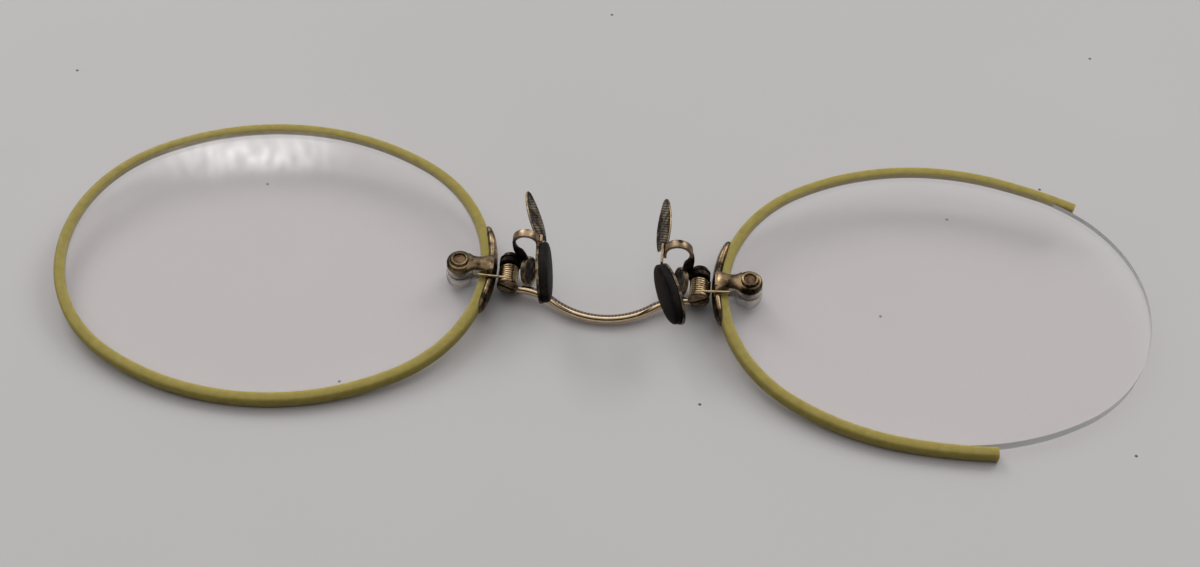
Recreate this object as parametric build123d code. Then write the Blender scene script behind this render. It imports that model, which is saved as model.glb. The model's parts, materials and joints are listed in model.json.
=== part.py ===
from build123d import *
from collections import namedtuple
from math import asin, atan, atan2, cos, degrees, pi, radians, sin, sqrt
import os

# A sprung finger-piece pince nez, in millimetres.
# Everything is first built for the right half (+X away from the nose) in the frame of the lenses:
# X across the face, Y from the bridge's crown to the cheeks, Z towards the wearer, z = 0 halfway
# through the glass. The left half is its mirror image. The finished assembly is then pitched as it
# lies on a table, and set with the bottom centre of its box at the origin.

# ---------- driving dimensions ----------
# lenses and rims: an oval of four tangent arcs, given on the middle line of the rim
oval_nose_x = 11.15         # of each oval's nose end: the mounting keeps its width with lenses of another size
oval_half_width = 20.0
oval_half_height = 16.05
oval_fullness = 1.6         # how much less the end radius is than the half height
rim_width = 1.15
rim_height = 1.25
rim_corner = 0.3
lens_thickness = 1.0
lens_inset = 0.2            # edge of the glass, inside the rim's middle line
groove_clearance = 0.02
seat_gap = 0.02             # between pieces that are soldered or screwed together

# the right rim is broken off at the temple: its two ends have straightened and stand off the glass
straightened_radius = 45.0
straightened_length = 8.0
far_straight_from = 76.0    # degrees, about the centre of the far side's arc
near_straight_from = 263.0

# shoe and lens strap
strap_y = 0.25
shoe_thickness = 0.7
shoe_height = 1.35
shoe_inset = 0.45           # how deep the shoe sits in the rim's outer wall
shoe_far_length = 4.6       # from the strap to the shoe's end
shoe_near_length = 4.0
shoe_corner = 0.25
strap_width = 1.8
riser_thickness = 0.42
washer_margin = 0.755       # from the rim's inner wall to the lens screw's washers
ear_thickness = 0.79
ear_corner = 0.18
boss_radius = 1.25
neck_width = 1.05
collar_radius = 0.88
collar_height = 0.24
lower_ear_half_length = 1.75
lower_ear_half_width = 1.3
lower_ear_thickness = 0.63
washer_radius = 1.1
washer_thickness = 0.15
lens_screw_radius = 0.52
lens_hole_clearance = 0.12
fit_clearance = 0.04        # round a screw in metal
lens_screw_head_radius = 0.95
lens_screw_head_height = 0.35
screw_chamfer = 0.1
screw_recess = 0.15
slot_width = 0.32
slot_depth = 0.18

# cross screw, spring and hub, along the pivot
pivot_x = 8.93
pivot_z = 0.2
pivot_start = -1.7          # y of the outer face of the screw's head
pivot_head_radius = 1.1
pivot_head_height = 0.4
pivot_head_corner = 0.15
pivot_slot_angle = -28.0
pivot_shaft_radius = 0.42
running_clearance = 0.04
side_clearance = 0.05
spring_wire = 0.2
spring_radius = 0.765
spring_pitch = 0.62
spring_turns = 3.25
spring_outer_leg = 3.0
spring_inner_leg = 0.85
hub_radius = 1.0
hub_length = 0.65
hub_corner = 0.12
lug_radius = 0.75
lug_thickness = 0.35
screw_tail = 0.12

# pivot bracket and bridge
foot_thickness = 0.42
foot_clearance = 0.1        # under the screw's head
foot_inner_x = 8.1
foot_margin = 0.1           # beyond the bridge's end
foot_corner = 0.25
bridge_wire = 0.85
bridge_flat = 0.11          # milled off the wire's inner side
bridge_rise = 2.8
bridge_crown_radius = 7.5
bridge_end_y = -0.7
bridge_z = -1.15

# lever, loop, finger piece
ribbon_thickness = 0.3
ribbon_width = 0.7
ribbon_set_back = 0.2       # of the ribbon from the hub's near face
ribbon_rise = 0.9           # straight part above the pivot
loop_top_z = 4.65
finger_centre_y = 1.15
finger_centre_z = -0.645
finger_half_length = 1.2
finger_half_height = 1.53
finger_thickness = 0.45
finger_inset = 1.73         # from the pivot towards the nose
finger_tilt = 15.0
finger_dish = 0.12
finger_edge = 0.22
finger_corner = 0.09

# nose guards
guard_z = 3.2
guard_sheet = 0.25
leaf_length = 6.0
leaf_half_height = 1.42
leaf_rise = 7.0
leaf_tip = 0.4
leaf_lean = 21.0            # of its upper edge, away from the nose
stem_half_height = 0.5
backing_half_height = 1.62
pad_lean = 12.0
pad_margin = 0.08
pad_thickness = 0.82
pad_half_length = 3.4
pad_crown_radius = 8.0
pad_flat_radius = 0.8
pad_corner = 0.15

# lying on the table
pitch = 5.0

# what differs from side to side: the guards have been bent by hand
left_loop_x = 8.55
left_guard_x = 6.2
left_bend_y = 1.4
left_leaf_turn = 14.0
left_pad_turn = 5.0
right_loop_x = 7.95
right_guard_x = 5.4
right_bend_y = -0.1
right_leaf_turn = -3.5
right_pad_turn = -20.0

# ---------- values that follow from them ----------
Side = namedtuple("Side", "name sign broken loop_x guard_x bend_y leaf_turn pad_turn")
SIDES = (
    Side("left", -1, False, left_loop_x, left_guard_x, left_bend_y, left_leaf_turn, left_pad_turn),
    Side("right", 1, True, right_loop_x, right_guard_x, right_bend_y, right_leaf_turn, right_pad_turn),
)
Arc = namedtuple("Arc", "centre radius start end")
lens_x = oval_nose_x + oval_half_width
oval_end_radius = oval_half_height - oval_fullness
lens_screw_reach = oval_nose_x + rim_width / 2 + washer_radius + washer_margin
end_offset = oval_half_width - oval_end_radius
side_radius = (end_offset**2 + oval_half_height**2 - oval_end_radius**2) / (
    2 * (oval_half_height - oval_end_radius))
side_offset = side_radius - oval_half_height
join_angle = degrees(atan2(side_offset, end_offset))

nose_centre = Vector(lens_x - end_offset, strap_y, 0)
shoe_seat_radius = oval_end_radius + rim_width / 2 - shoe_inset
shoe_inner = shoe_seat_radius + seat_gap
shoe_outer = shoe_inner + shoe_thickness
shoe_face_x = nose_centre.X - shoe_outer
shoe_far_angle = degrees(asin(shoe_far_length / shoe_outer))
shoe_near_angle = degrees(asin(shoe_near_length / shoe_outer))
riser_inner_x = shoe_face_x + riser_thickness

glass_top = lens_thickness / 2
ear_base = glass_top + washer_thickness + seat_gap
ear_top = ear_base + ear_thickness
strap_bottom = -ear_base - lower_ear_thickness
tall = 4 * rim_height       # for cuts that go right through

head_inner = pivot_start + pivot_head_height
coil_start = head_inner + side_clearance + spring_wire / 2
coil_end = coil_start + spring_turns * spring_pitch
hub_start = coil_end + spring_wire / 2 + side_clearance
hub_end = hub_start + hub_length
lug_start = hub_end + side_clearance
lug_end = lug_start + lug_thickness
screw_end = lug_end + screw_tail
foot_top = pivot_z - pivot_head_radius - foot_clearance
foot_bottom = foot_top - foot_thickness
foot_near_y = bridge_end_y - bridge_wire / 2 - foot_margin
ribbon_near_y = hub_start + ribbon_set_back
stem_far_y = ribbon_near_y + ribbon_width


# ---------- small helpers ----------
def box_between(low, high):
    """A box by its two opposite corners."""
    size = Vector(*high) - Vector(*low)
    middle = (Vector(*high) + Vector(*low)) / 2
    return Pos(middle) * Box(size.X, size.Y, size.Z)


def bar_y(radius, start, end):
    """A round bar along the pivot."""
    plane = Plane(origin=(pivot_x, start, pivot_z), x_dir=(1, 0, 0), z_dir=(0, 1, 0))
    return extrude(plane * Circle(radius), end - start)


def bar_z(radius, bottom, top):
    """A round bar along the lens screw."""
    return Pos(lens_screw_reach, strap_y, bottom) * extrude(Circle(radius), top - bottom)


def slot_across(radius, plane):
    """A screwdriver slot cut into the face that the plane lies on."""
    return extrude(plane * Rectangle(2.2 * radius, slot_width), -slot_depth)


def band_about_nose(section):
    """A section turned about the rim's nose end, as long as the shoe."""
    turned = revolve(Plane.XZ * section, Axis.Z, shoe_far_angle + shoe_near_angle)
    return Pos(nose_centre) * Rot(0, 0, 180 - shoe_far_angle) * turned


# ---------- rims and lenses ----------
def oval_arcs():
    """The four arcs, counter-clockwise from the temple's end, about the middle of the lens."""
    return (
        Arc(Vector(end_offset, 0), oval_end_radius, -join_angle, join_angle),
        Arc(Vector(0, -side_offset), side_radius, join_angle, 180 - join_angle),
        Arc(Vector(-end_offset, 0), oval_end_radius, 180 - join_angle, 180 + join_angle),
        Arc(Vector(0, side_offset), side_radius, 180 + join_angle, 360 - join_angle),
    )


def oval_face(inset):
    """The oval at a distance inside the rim's middle line."""
    edges = []
    for arc in oval_arcs():
        plane = Plane(arc.centre)
        edges.append(Edge.make_circle(arc.radius - inset, plane, start_angle=arc.start, end_angle=arc.end))
    return Face(Wire(edges))


def rim_section(radius):
    """The rim's grooved section in the XZ plane, at a radius from the Z axis."""
    outside = RectangleRounded(rim_width, rim_height, rim_corner)
    groove_bottom = -lens_inset + groove_clearance
    groove_middle = groove_bottom - rim_width / 2
    groove = Pos(groove_middle, 0) * Rectangle(rim_width, lens_thickness + 2 * groove_clearance)
    return Plane.XZ * Pos(radius, 0) * (outside - groove)


def rim_arc(arc):
    """One arc of the rim, turned about its own centre."""
    turned = revolve(rim_section(arc.radius), Axis.Z, arc.end - arc.start)
    return Pos(arc.centre) * Rot(0, 0, arc.start) * turned


def straightened(arc, start, way):
    """A rim end that has lost some of its curve, from an angle on an arc, onwards (1) or back (-1)."""
    centre = arc.centre + Vector(arc.radius - straightened_radius, 0).rotate(Axis.Z, start)
    span = way * degrees(straightened_length / straightened_radius)
    return Arc(centre, straightened_radius, min(start, start + span), max(start, start + span))


def broken_arcs():
    """The rim's arcs without its temple end."""
    _, far, nose, near = oval_arcs()
    return (
        straightened(far, far_straight_from, -1),
        far._replace(start=far_straight_from),
        nose,
        near._replace(end=near_straight_from),
        straightened(near, near_straight_from, 1),
    )


def build_rim(side):
    arcs = broken_arcs() if side.broken else oval_arcs()
    first, *others = [rim_arc(arc) for arc in arcs]
    rim = Pos(lens_x, 0, 0) * first.fuse(*others)
    seat = Pos(shoe_seat_radius + shoe_thickness, 0) * Rectangle(2 * shoe_thickness, tall)
    return rim - band_about_nose(seat)


def build_lens():
    """Flat glass, drilled for the lens screw."""
    glass = extrude(Pos(lens_x, 0, -lens_thickness / 2) * oval_face(lens_inset), lens_thickness)
    return glass - bar_z(lens_screw_radius + lens_hole_clearance, -tall, tall)


# ---------- shoe, strap, lens screw ----------
def build_edge_shoe():
    """A band let into the rim's outside, with a pocket for the strap's riser."""
    section = RectangleRounded(shoe_thickness, shoe_height, shoe_corner)
    band = band_about_nose(Pos((shoe_inner + shoe_outer) / 2, 0) * section)
    half_pocket = strap_width / 2 + seat_gap
    pocket = box_between((shoe_face_x - shoe_thickness, strap_y - half_pocket, -tall),
                         (riser_inner_x + seat_gap, strap_y + half_pocket, tall))
    return band - pocket


def ear(half_width, half_length, bottom, height):
    """A rounded ear at the lens screw, joined to the riser by a waisted neck."""
    neck_x = (riser_inner_x + lens_screw_reach - half_width) / 2
    shoulder = 0.8 * half_length
    with BuildSketch(Plane.XY.offset(bottom)) as sketch:
        with BuildLine():
            Line((shoe_face_x, strap_width / 2), (shoe_face_x, -strap_width / 2))
            ThreePointArc((shoe_face_x, -strap_width / 2), (neck_x, -neck_width / 2),
                          (lens_screw_reach, -shoulder))
            Line((lens_screw_reach, -shoulder), (lens_screw_reach, shoulder))
            ThreePointArc((lens_screw_reach, shoulder), (neck_x, neck_width / 2),
                          (shoe_face_x, strap_width / 2))
        make_face()
        with Locations((lens_screw_reach, 0)):
            Ellipse(half_width, half_length)
    return Pos(0, strap_y, 0) * extrude(sketch.sketch, height)


def build_lens_strap():
    """A U astride the glass: two ears, and the riser that joins them outside the rim."""
    upper = ear(boss_radius, boss_radius, ear_base, ear_thickness)
    upper = fillet(upper.edges().group_by(Axis.Z)[-1], ear_corner)
    lower = ear(lower_ear_half_width, lower_ear_half_length, strap_bottom, lower_ear_thickness)
    half_opening = shoe_height / 2 + seat_gap
    over_shoe = box_between((riser_inner_x, -tall, -half_opening),
                            (nose_centre.X - shoe_inner + shoe_corner, tall, half_opening))
    riser = box_between((shoe_face_x, strap_y - strap_width / 2, strap_bottom),
                        (riser_inner_x, strap_y + strap_width / 2, ear_top - ear_corner))
    collar = bar_z(collar_radius, ear_base, ear_top + collar_height)
    strap = upper + lower - over_shoe + riser + collar
    return strap - bar_z(lens_screw_radius + fit_clearance, -tall, tall)


def build_lens_screw():
    """Headed below, its end sunk a little in the collar of the upper ear."""
    head_top = strap_bottom - seat_gap
    head_bottom = head_top - lens_screw_head_height
    head = bar_z(lens_screw_head_radius, head_bottom, head_top)
    head = chamfer(head.edges().group_by(Axis.Z)[0], screw_chamfer)
    shaft = bar_z(lens_screw_radius, head_bottom + slot_depth, ear_top + collar_height - screw_recess)
    face = Plane(origin=(lens_screw_reach, strap_y, head_bottom), z_dir=(0, 0, -1))
    return head + shaft - slot_across(lens_screw_head_radius, face)


def build_lens_washers():
    """Two rings, one on each side of the glass."""
    ring = Circle(washer_radius) - Circle(lens_screw_radius + fit_clearance)
    rings = []
    for bottom in (glass_top + seat_gap / 2, -glass_top - washer_thickness - seat_gap / 2):
        rings.append(Pos(lens_screw_reach, strap_y, bottom) * extrude(ring, washer_thickness))
    return Compound(children=rings)


# ---------- pivot bracket, cross screw, spring ----------
def build_pivot_bracket():
    """A foot under the spring and hub, with the lug that the cross screw is threaded into."""
    outer_x = shoe_face_x + shoe_thickness
    foot = box_between((foot_inner_x, foot_near_y, foot_bottom), (outer_x, lug_end, foot_top))
    foot = fillet(foot.edges().filter_by(Axis.Z).group_by(Axis.X)[0], foot_corner)
    lug = bar_y(lug_radius, lug_start, lug_end)
    web = box_between((pivot_x - lug_radius, lug_start, foot_bottom),
                      (pivot_x + lug_radius, lug_end, pivot_z))
    shoe_room = Pos(nose_centre) * Cylinder(shoe_outer + seat_gap, tall)
    strap_room = box_between((shoe_face_x - seat_gap, -tall, -tall), (outer_x, tall, tall))
    return foot + lug + web - shoe_room - strap_room - bar_y(pivot_shaft_radius + fit_clearance, 0, tall)


def build_pivot_screw():
    head = bar_y(pivot_head_radius, pivot_start, head_inner)
    head = fillet(head.edges().group_by(Axis.Y)[0], pivot_head_corner)
    shaft = bar_y(pivot_shaft_radius, head_inner - pivot_head_height / 2, screw_end)
    slot_way = Vector(1, 0, 0).rotate(Axis.Y, pivot_slot_angle)
    face = Plane(origin=(pivot_x, pivot_start, pivot_z), x_dir=slot_way, z_dir=(0, -1, 0))
    return head + shaft - slot_across(pivot_head_radius, face)


def coil_point(turn):
    """Point and direction on the coil, from its inner end (nose side) to its outer end (top)."""
    angle = pi - 2 * pi * turn
    y = coil_end - spring_pitch * turn
    point = Vector(pivot_x + spring_radius * cos(angle), y, pivot_z + spring_radius * sin(angle))
    rise = spring_pitch / (2 * pi * spring_radius)
    return point, Vector(sin(angle), -rise, -cos(angle)).normalized()


def biarc(start, start_way, end, end_way):
    """Two tangent arcs from one point and direction to another."""
    chord = end - start
    along = chord.dot(start_way + end_way)
    spread = 2 * (1 - start_way.dot(end_way))
    reach = (sqrt(along**2 + spread * chord.dot(chord)) - along) / spread
    middle = (start + end + (start_way - end_way) * reach) / 2
    first = Edge.make_tangent_arc(start, start_way, middle)
    return [first, Edge.make_tangent_arc(middle, first % 1, end)]


def build_guard_spring():
    """A wound wire with one leg out over the shoe and one down beside the lever."""
    quarters = round(4 * spring_turns)
    point = coil_point(0)[0]
    way = Vector(0, 0, 1)
    leg_foot = point - way * spring_inner_leg
    edges = [Edge.make_line(leg_foot, point)]
    for quarter in range(1, quarters + 1):
        next_point, next_way = coil_point(quarter / 4)
        if quarter == quarters:
            next_way = Vector(1, 0, 0)
        edges += biarc(point, way, next_point, next_way)
        point, way = next_point, next_way
    edges.append(Edge.make_line(point, point + way * spring_outer_leg))
    path = Wire(edges)
    spring = sweep(Plane(origin=leg_foot, z_dir=(0, 0, 1)) * Circle(spring_wire / 2), path=path)
    expected = pi * (spring_wire / 2) ** 2 * path.length
    print(f"spring: least gap to itself {least_gap():.3f} mm, volume {spring.volume:.4f} mm3"
          f" for a section times length of {expected:.4f} mm3")
    return spring


def least_gap(steps=60):
    """Least gap of the coil to itself, measured on points at least half a turn apart."""
    points = [coil_point(i / steps)[0] for i in range(int(spring_turns * steps) + 1)]
    distances = [(b - a).length for i, a in enumerate(points) for b in points[i + steps // 2:]]
    return min(distances) - spring_wire


# ---------- bridge ----------
def build_bridge():
    """A wire arched over the nose, with its inner side milled flat."""
    half_angle = 2 * atan(bridge_rise / foot_inner_x)
    crown_y = bridge_end_y - bridge_rise
    knee_x = bridge_crown_radius * sin(half_angle)
    knee_y = crown_y + bridge_crown_radius * (1 - cos(half_angle))
    crown = Vector(0, crown_y, bridge_z)
    knee = Vector(knee_x, knee_y, bridge_z)
    end = Vector(foot_inner_x - seat_gap, bridge_end_y, bridge_z)
    upper = Edge.make_tangent_arc(crown, Vector(1, 0, 0), knee)
    lower = Edge.make_tangent_arc(knee, upper % 1, end)
    milled = Pos(bridge_wire / 2, 0) * Rectangle(2 * bridge_flat, bridge_wire)
    section = Plane(origin=crown, x_dir=(0, 1, 0), z_dir=(1, 0, 0)) * (Circle(bridge_wire / 2) - milled)
    right = sweep(section, path=Wire([upper, lower]))
    return right + mirror(right, about=Plane.YZ)


# ---------- lever and finger piece ----------
def ribbon_sketch(side):
    """The ribbon seen along the pivot: from the hub's nose side up, over and down to the guard."""
    hub_x = pivot_x - hub_radius + ribbon_thickness / 2
    outer_x = side.loop_x
    inner_x = side.guard_x + ribbon_thickness / 2
    radius = (outer_x - inner_x) / 2
    shoulder = loop_top_z - ribbon_thickness / 2 - radius
    start = (hub_x, pivot_z + ribbon_rise)
    middle = ((hub_x + outer_x) / 2, (pivot_z + ribbon_rise + shoulder) / 2)
    with BuildLine() as line:
        Line((hub_x, pivot_z), start)
        TangentArc(start, middle, tangent=(0, 1))
        TangentArc((outer_x, shoulder), middle, tangent=(0, -1))
        ThreePointArc((outer_x, shoulder), (inner_x + radius, shoulder + radius), (inner_x, shoulder))
        Line((inner_x, shoulder), (inner_x, guard_z - stem_half_height))
    return trace(line.line, ribbon_thickness)


def finger_place(y):
    """Place of the finger piece: X along its normal, away from the nose, Z up its height."""
    return Pos(pivot_x - finger_inset, y, finger_centre_z) * Rot(0, finger_tilt, 0)


def build_lever(side):
    """Hub, looped ribbon arm, and the short arm that carries the finger piece."""
    plane = Plane(origin=(0, ribbon_near_y, 0), x_dir=(1, 0, 0), z_dir=(0, -1, 0))
    ribbon = extrude(plane * ribbon_sketch(side), -ribbon_width)
    lug_room = bar_y(lug_radius + ribbon_thickness + side_clearance, hub_end, screw_end)
    hub = bar_y(hub_radius, hub_start, hub_end)
    hub = fillet(hub.edges().group_by(Axis.Y)[0], hub_corner)
    behind = finger_thickness / 2 + seat_gap
    short_arm = box_between((behind, hub_start, -finger_half_height / 3),
                            (behind + ribbon_thickness, hub_end, finger_half_height))
    short_arm = finger_place(0) * short_arm
    bore = bar_y(pivot_shaft_radius + running_clearance, hub_start - hub_length, screw_end)
    return hub + (ribbon - lug_room) + short_arm - bore


def build_finger_piece():
    """An oval plate with a raised edge round a dished face on the nose side."""
    plane = Plane(origin=(-finger_thickness / 2, 0, 0), x_dir=(0, 1, 0), z_dir=(1, 0, 0))
    plate = extrude(plane * Ellipse(finger_half_length, finger_half_height), finger_thickness)
    plate = fillet(plate.edges(), finger_corner)
    dish = Ellipse(finger_half_length - finger_edge, finger_half_height - finger_edge)
    return finger_place(finger_centre_y) * (plate - extrude(plane * dish, finger_dish))


# ---------- nose guards ----------
def guard_plane(side, turn, lean, y):
    """Plane of a sheet piece: X runs along the guard away from the bridge, the normal to the nose."""
    along = Vector(sin(radians(turn)), cos(radians(turn)), 0)
    to_nose = Vector(-cos(radians(turn)), sin(radians(turn)), 0) * cos(radians(lean))
    to_nose += Vector(0, 0, sin(radians(lean)))
    return Plane(origin=(side.guard_x, y, guard_z), x_dir=along, z_dir=to_nose)


def leaf_outline():
    """A leaf with a blunt tip, as wide at its root as the stem."""
    radius = ((leaf_length / 2) ** 2 + leaf_half_height**2) / (2 * leaf_half_height)
    offset = radius - leaf_half_height
    root = sqrt(radius**2 - (offset + stem_half_height) ** 2)
    leaf = (Pos(0, offset) * Circle(radius)) & (Pos(0, -offset) * Circle(radius))
    leaf = fillet(leaf.vertices().sort_by(Axis.X)[-1], leaf_tip)
    leaf -= Pos(-root - leaf_length / 2, 0) * Rectangle(leaf_length, leaf_length)
    return Rot(0, 0, -leaf_rise) * Pos(root, 0) * leaf


def bend(side, y):
    """The round of a bend in the sheet, over the height of the stem."""
    middle = Pos(side.guard_x, y, guard_z)
    nose_half = Pos(-guard_sheet, 0, 0) * Box(2 * guard_sheet, 4 * guard_sheet, 2 * stem_half_height)
    return middle * (Cylinder(guard_sheet, 2 * stem_half_height) & nose_half)


def build_guard_plate(side):
    """Leaf, stem and oval backing, bent from one sheet."""
    leaf_plane = guard_plane(side, side.leaf_turn, leaf_lean, stem_far_y)
    leaf = extrude(leaf_plane * leaf_outline(), guard_sheet)
    stem = box_between((side.guard_x - guard_sheet, side.bend_y, guard_z - stem_half_height),
                       (side.guard_x, stem_far_y, guard_z + stem_half_height))
    oval = Pos(-pad_half_length, 0) * Ellipse(pad_half_length, backing_half_height)
    tongue = Pos(-pad_half_length / 4, 0) * Rectangle(pad_half_length / 2, 2 * stem_half_height)
    backing_plane = guard_plane(side, side.pad_turn, pad_lean, side.bend_y)
    backing = extrude(backing_plane * (oval + tongue), guard_sheet)
    return leaf + stem + backing + bend(side, side.bend_y) + bend(side, stem_far_y)


def build_nose_pad(side):
    """Black oval pad, crowned on the nose side, with a small flat on the crown."""
    backing_plane = guard_plane(side, side.pad_turn, pad_lean, side.bend_y)
    plane = backing_plane.offset(guard_sheet + seat_gap)
    oval = Ellipse(pad_half_length - pad_margin, backing_half_height - pad_margin)
    rise = pad_crown_radius - sqrt(pad_crown_radius**2 - pad_flat_radius**2)
    crown = Pos(0, 0, pad_thickness + rise - pad_crown_radius) * Sphere(pad_crown_radius)
    pad = extrude(oval, pad_thickness) & crown
    crown_edge = pad.edges().sort_by(SortBy.LENGTH)[-2:].sort_by(Axis.Z)[-1]
    return plane * Pos(-pad_half_length, 0) * fillet(crown_edge, pad_corner)


# ---------- assembly ----------
def half_nodes(side):
    """Every node of one half, still in the right-hand frame of the lenses."""
    return {
        "lens": build_lens(),
        "rim": build_rim(side),
        "edge_shoe": build_edge_shoe(),
        "lens_strap": build_lens_strap(),
        "lens_screw": build_lens_screw(),
        "lens_washers": build_lens_washers(),
        "pivot_bracket": build_pivot_bracket(),
        "pivot_screw": build_pivot_screw(),
        "guard_spring": build_guard_spring(),
        "lever": build_lever(side),
        "finger_piece": build_finger_piece(),
        "guard_plate": build_guard_plate(side),
        "nose_pad": build_nose_pad(side),
    }


def lens_frame_nodes():
    """Every node of both halves, in the frame of the lenses."""
    nodes = {"bridge": build_bridge()}
    for side in SIDES:
        for name, shape in half_nodes(side).items():
            nodes[f"{side.name}_{name}"] = mirror(shape, about=Plane.YZ) if side.sign < 0 else shape
    return nodes


def resting_place(nodes):
    """Pitches the assembly and puts the bottom centre of its box at the origin."""
    box = Compound(children=[Rot(pitch, 0, 0) * shape for shape in nodes.values()]).bounding_box()
    return Pos(-box.center().X, -box.center().Y, -box.min.Z) * Rot(pitch, 0, 0)


def main():
    nodes = lens_frame_nodes()
    place = resting_place(nodes)
    os.makedirs("parts", exist_ok=True)
    for name, shape in nodes.items():
        export_step(place * shape, f"parts/{name}.step")


if __name__ == "__main__":
    main()
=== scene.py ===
"""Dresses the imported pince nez: finishes on its solids, modelled metalwork, table, lights and camera.

The metalwork is modelled for the right half, in millimetres of the frame of the lenses: X runs across the
face, Y from the bridge's crown to the cheeks and Z towards the wearer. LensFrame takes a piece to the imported
model's frame, in metres, and mirrors it for the left half.
"""

import json
import logging
from contextlib import contextmanager
from dataclasses import dataclass, replace
from enum import Enum
from functools import cache
from math import atan, atan2, copysign, cos, degrees, exp, pi, radians, sin, sqrt
from typing import Any, Callable, Iterator, Sequence

import bmesh
import bpy
from bpy.types import Material, Mesh, MeshPolygon, Node, NodeSocket, NodeTree, Object
from mathutils import Matrix, Vector, kdtree

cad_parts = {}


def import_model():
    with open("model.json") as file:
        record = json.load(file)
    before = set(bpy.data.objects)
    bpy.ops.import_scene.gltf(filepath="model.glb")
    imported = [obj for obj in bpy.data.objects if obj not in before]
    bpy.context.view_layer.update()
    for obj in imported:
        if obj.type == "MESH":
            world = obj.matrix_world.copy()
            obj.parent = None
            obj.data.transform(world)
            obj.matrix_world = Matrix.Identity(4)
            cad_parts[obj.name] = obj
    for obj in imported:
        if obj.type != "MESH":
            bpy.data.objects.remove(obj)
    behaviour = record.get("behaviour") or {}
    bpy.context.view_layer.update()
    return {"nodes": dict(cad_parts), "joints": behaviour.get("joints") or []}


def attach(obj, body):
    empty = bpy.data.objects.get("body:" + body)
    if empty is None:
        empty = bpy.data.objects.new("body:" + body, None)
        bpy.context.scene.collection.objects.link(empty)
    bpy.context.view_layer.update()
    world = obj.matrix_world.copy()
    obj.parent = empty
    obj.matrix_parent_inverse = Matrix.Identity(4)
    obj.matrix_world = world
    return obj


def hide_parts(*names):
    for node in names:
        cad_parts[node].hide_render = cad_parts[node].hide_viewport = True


LOG = logging.getLogger("pince_nez")
MILLIMETRE = 0.001
PIVOT_X, PIVOT_Z = 8.93, 0.2
X_WAY, Y_WAY, Z_WAY = Vector((1, 0, 0)), Vector((0, 1, 0)), Vector((0, 0, 1))
Colour = tuple[float, float, float]
Triple = tuple[float, float, float]
Pair = tuple[float, float]


def on_pivot(y: float, radius: float = 0.0, angle: float = 0.0) -> Vector:
    """A place on the axis of the right half's cross screw, or at some radius and angle round it."""
    return Vector((PIVOT_X + radius * cos(angle), y, PIVOT_Z + radius * sin(angle)))


class Half(Enum):
    """The two halves, as the sign of their X."""

    LEFT = -1
    RIGHT = 1

    def node(self, name: str) -> str:
        """The name of one of this half's CAD nodes or pieces."""
        return f"{self.name.lower()}_{name}"

    @property
    def lever(self) -> str:
        """The body of this half's lever."""
        return self.node("lever")


@dataclass(frozen=True)
class LensFrame:
    """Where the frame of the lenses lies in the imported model."""

    origin: Vector
    pitch: float = radians(5.0)
    hinge_y: float = 1.34

    @classmethod
    def from_joints(cls, joints: Sequence[dict[str, Any]]) -> "LensFrame":
        """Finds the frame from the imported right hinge.

        Args:
            joints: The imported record's joints.

        Returns:
            The frame, its origin in metres.
        """
        place = next(Vector(j["pos_m"]) for j in joints if j["child"] == Half.RIGHT.lever)
        turn = Matrix.Rotation(cls.pitch, 3, "X")
        return cls(place - turn @ on_pivot(cls.hinge_y) * MILLIMETRE)

    def matrix(self, half: Half = Half.RIGHT) -> Matrix:
        """The matrix from a half's millimetres to the model's metres."""
        scale = Matrix.Scale(MILLIMETRE, 4)
        mirror = Matrix.Scale(half.value, 4, X_WAY)
        return Matrix.Translation(self.origin) @ Matrix.Rotation(self.pitch, 4, "X") @ scale @ mirror


# ---------- the bench: edit-mode tools ----------
@dataclass(frozen=True)
class Station:
    """One place that a section is drawn through: its middle, its way, its width's way and its half sizes."""

    middle: Vector
    along: Vector
    across: Vector
    half_width: float
    half_depth: float

    def matrix(self) -> Matrix:
        """The matrix from the unit section to this station."""
        along = self.along.normalized()
        across = (self.across - along * self.across.dot(along)).normalized()
        turn = Matrix((across * self.half_width, along.cross(across) * self.half_depth, along)).transposed()
        return Matrix.Translation(self.middle) @ turn.to_4x4()


class Section(Enum):
    """The unit sections, as their number of sides."""

    SQUARE = 4
    WIRE = 10
    ROUND = 20
    FINE = 48


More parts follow.
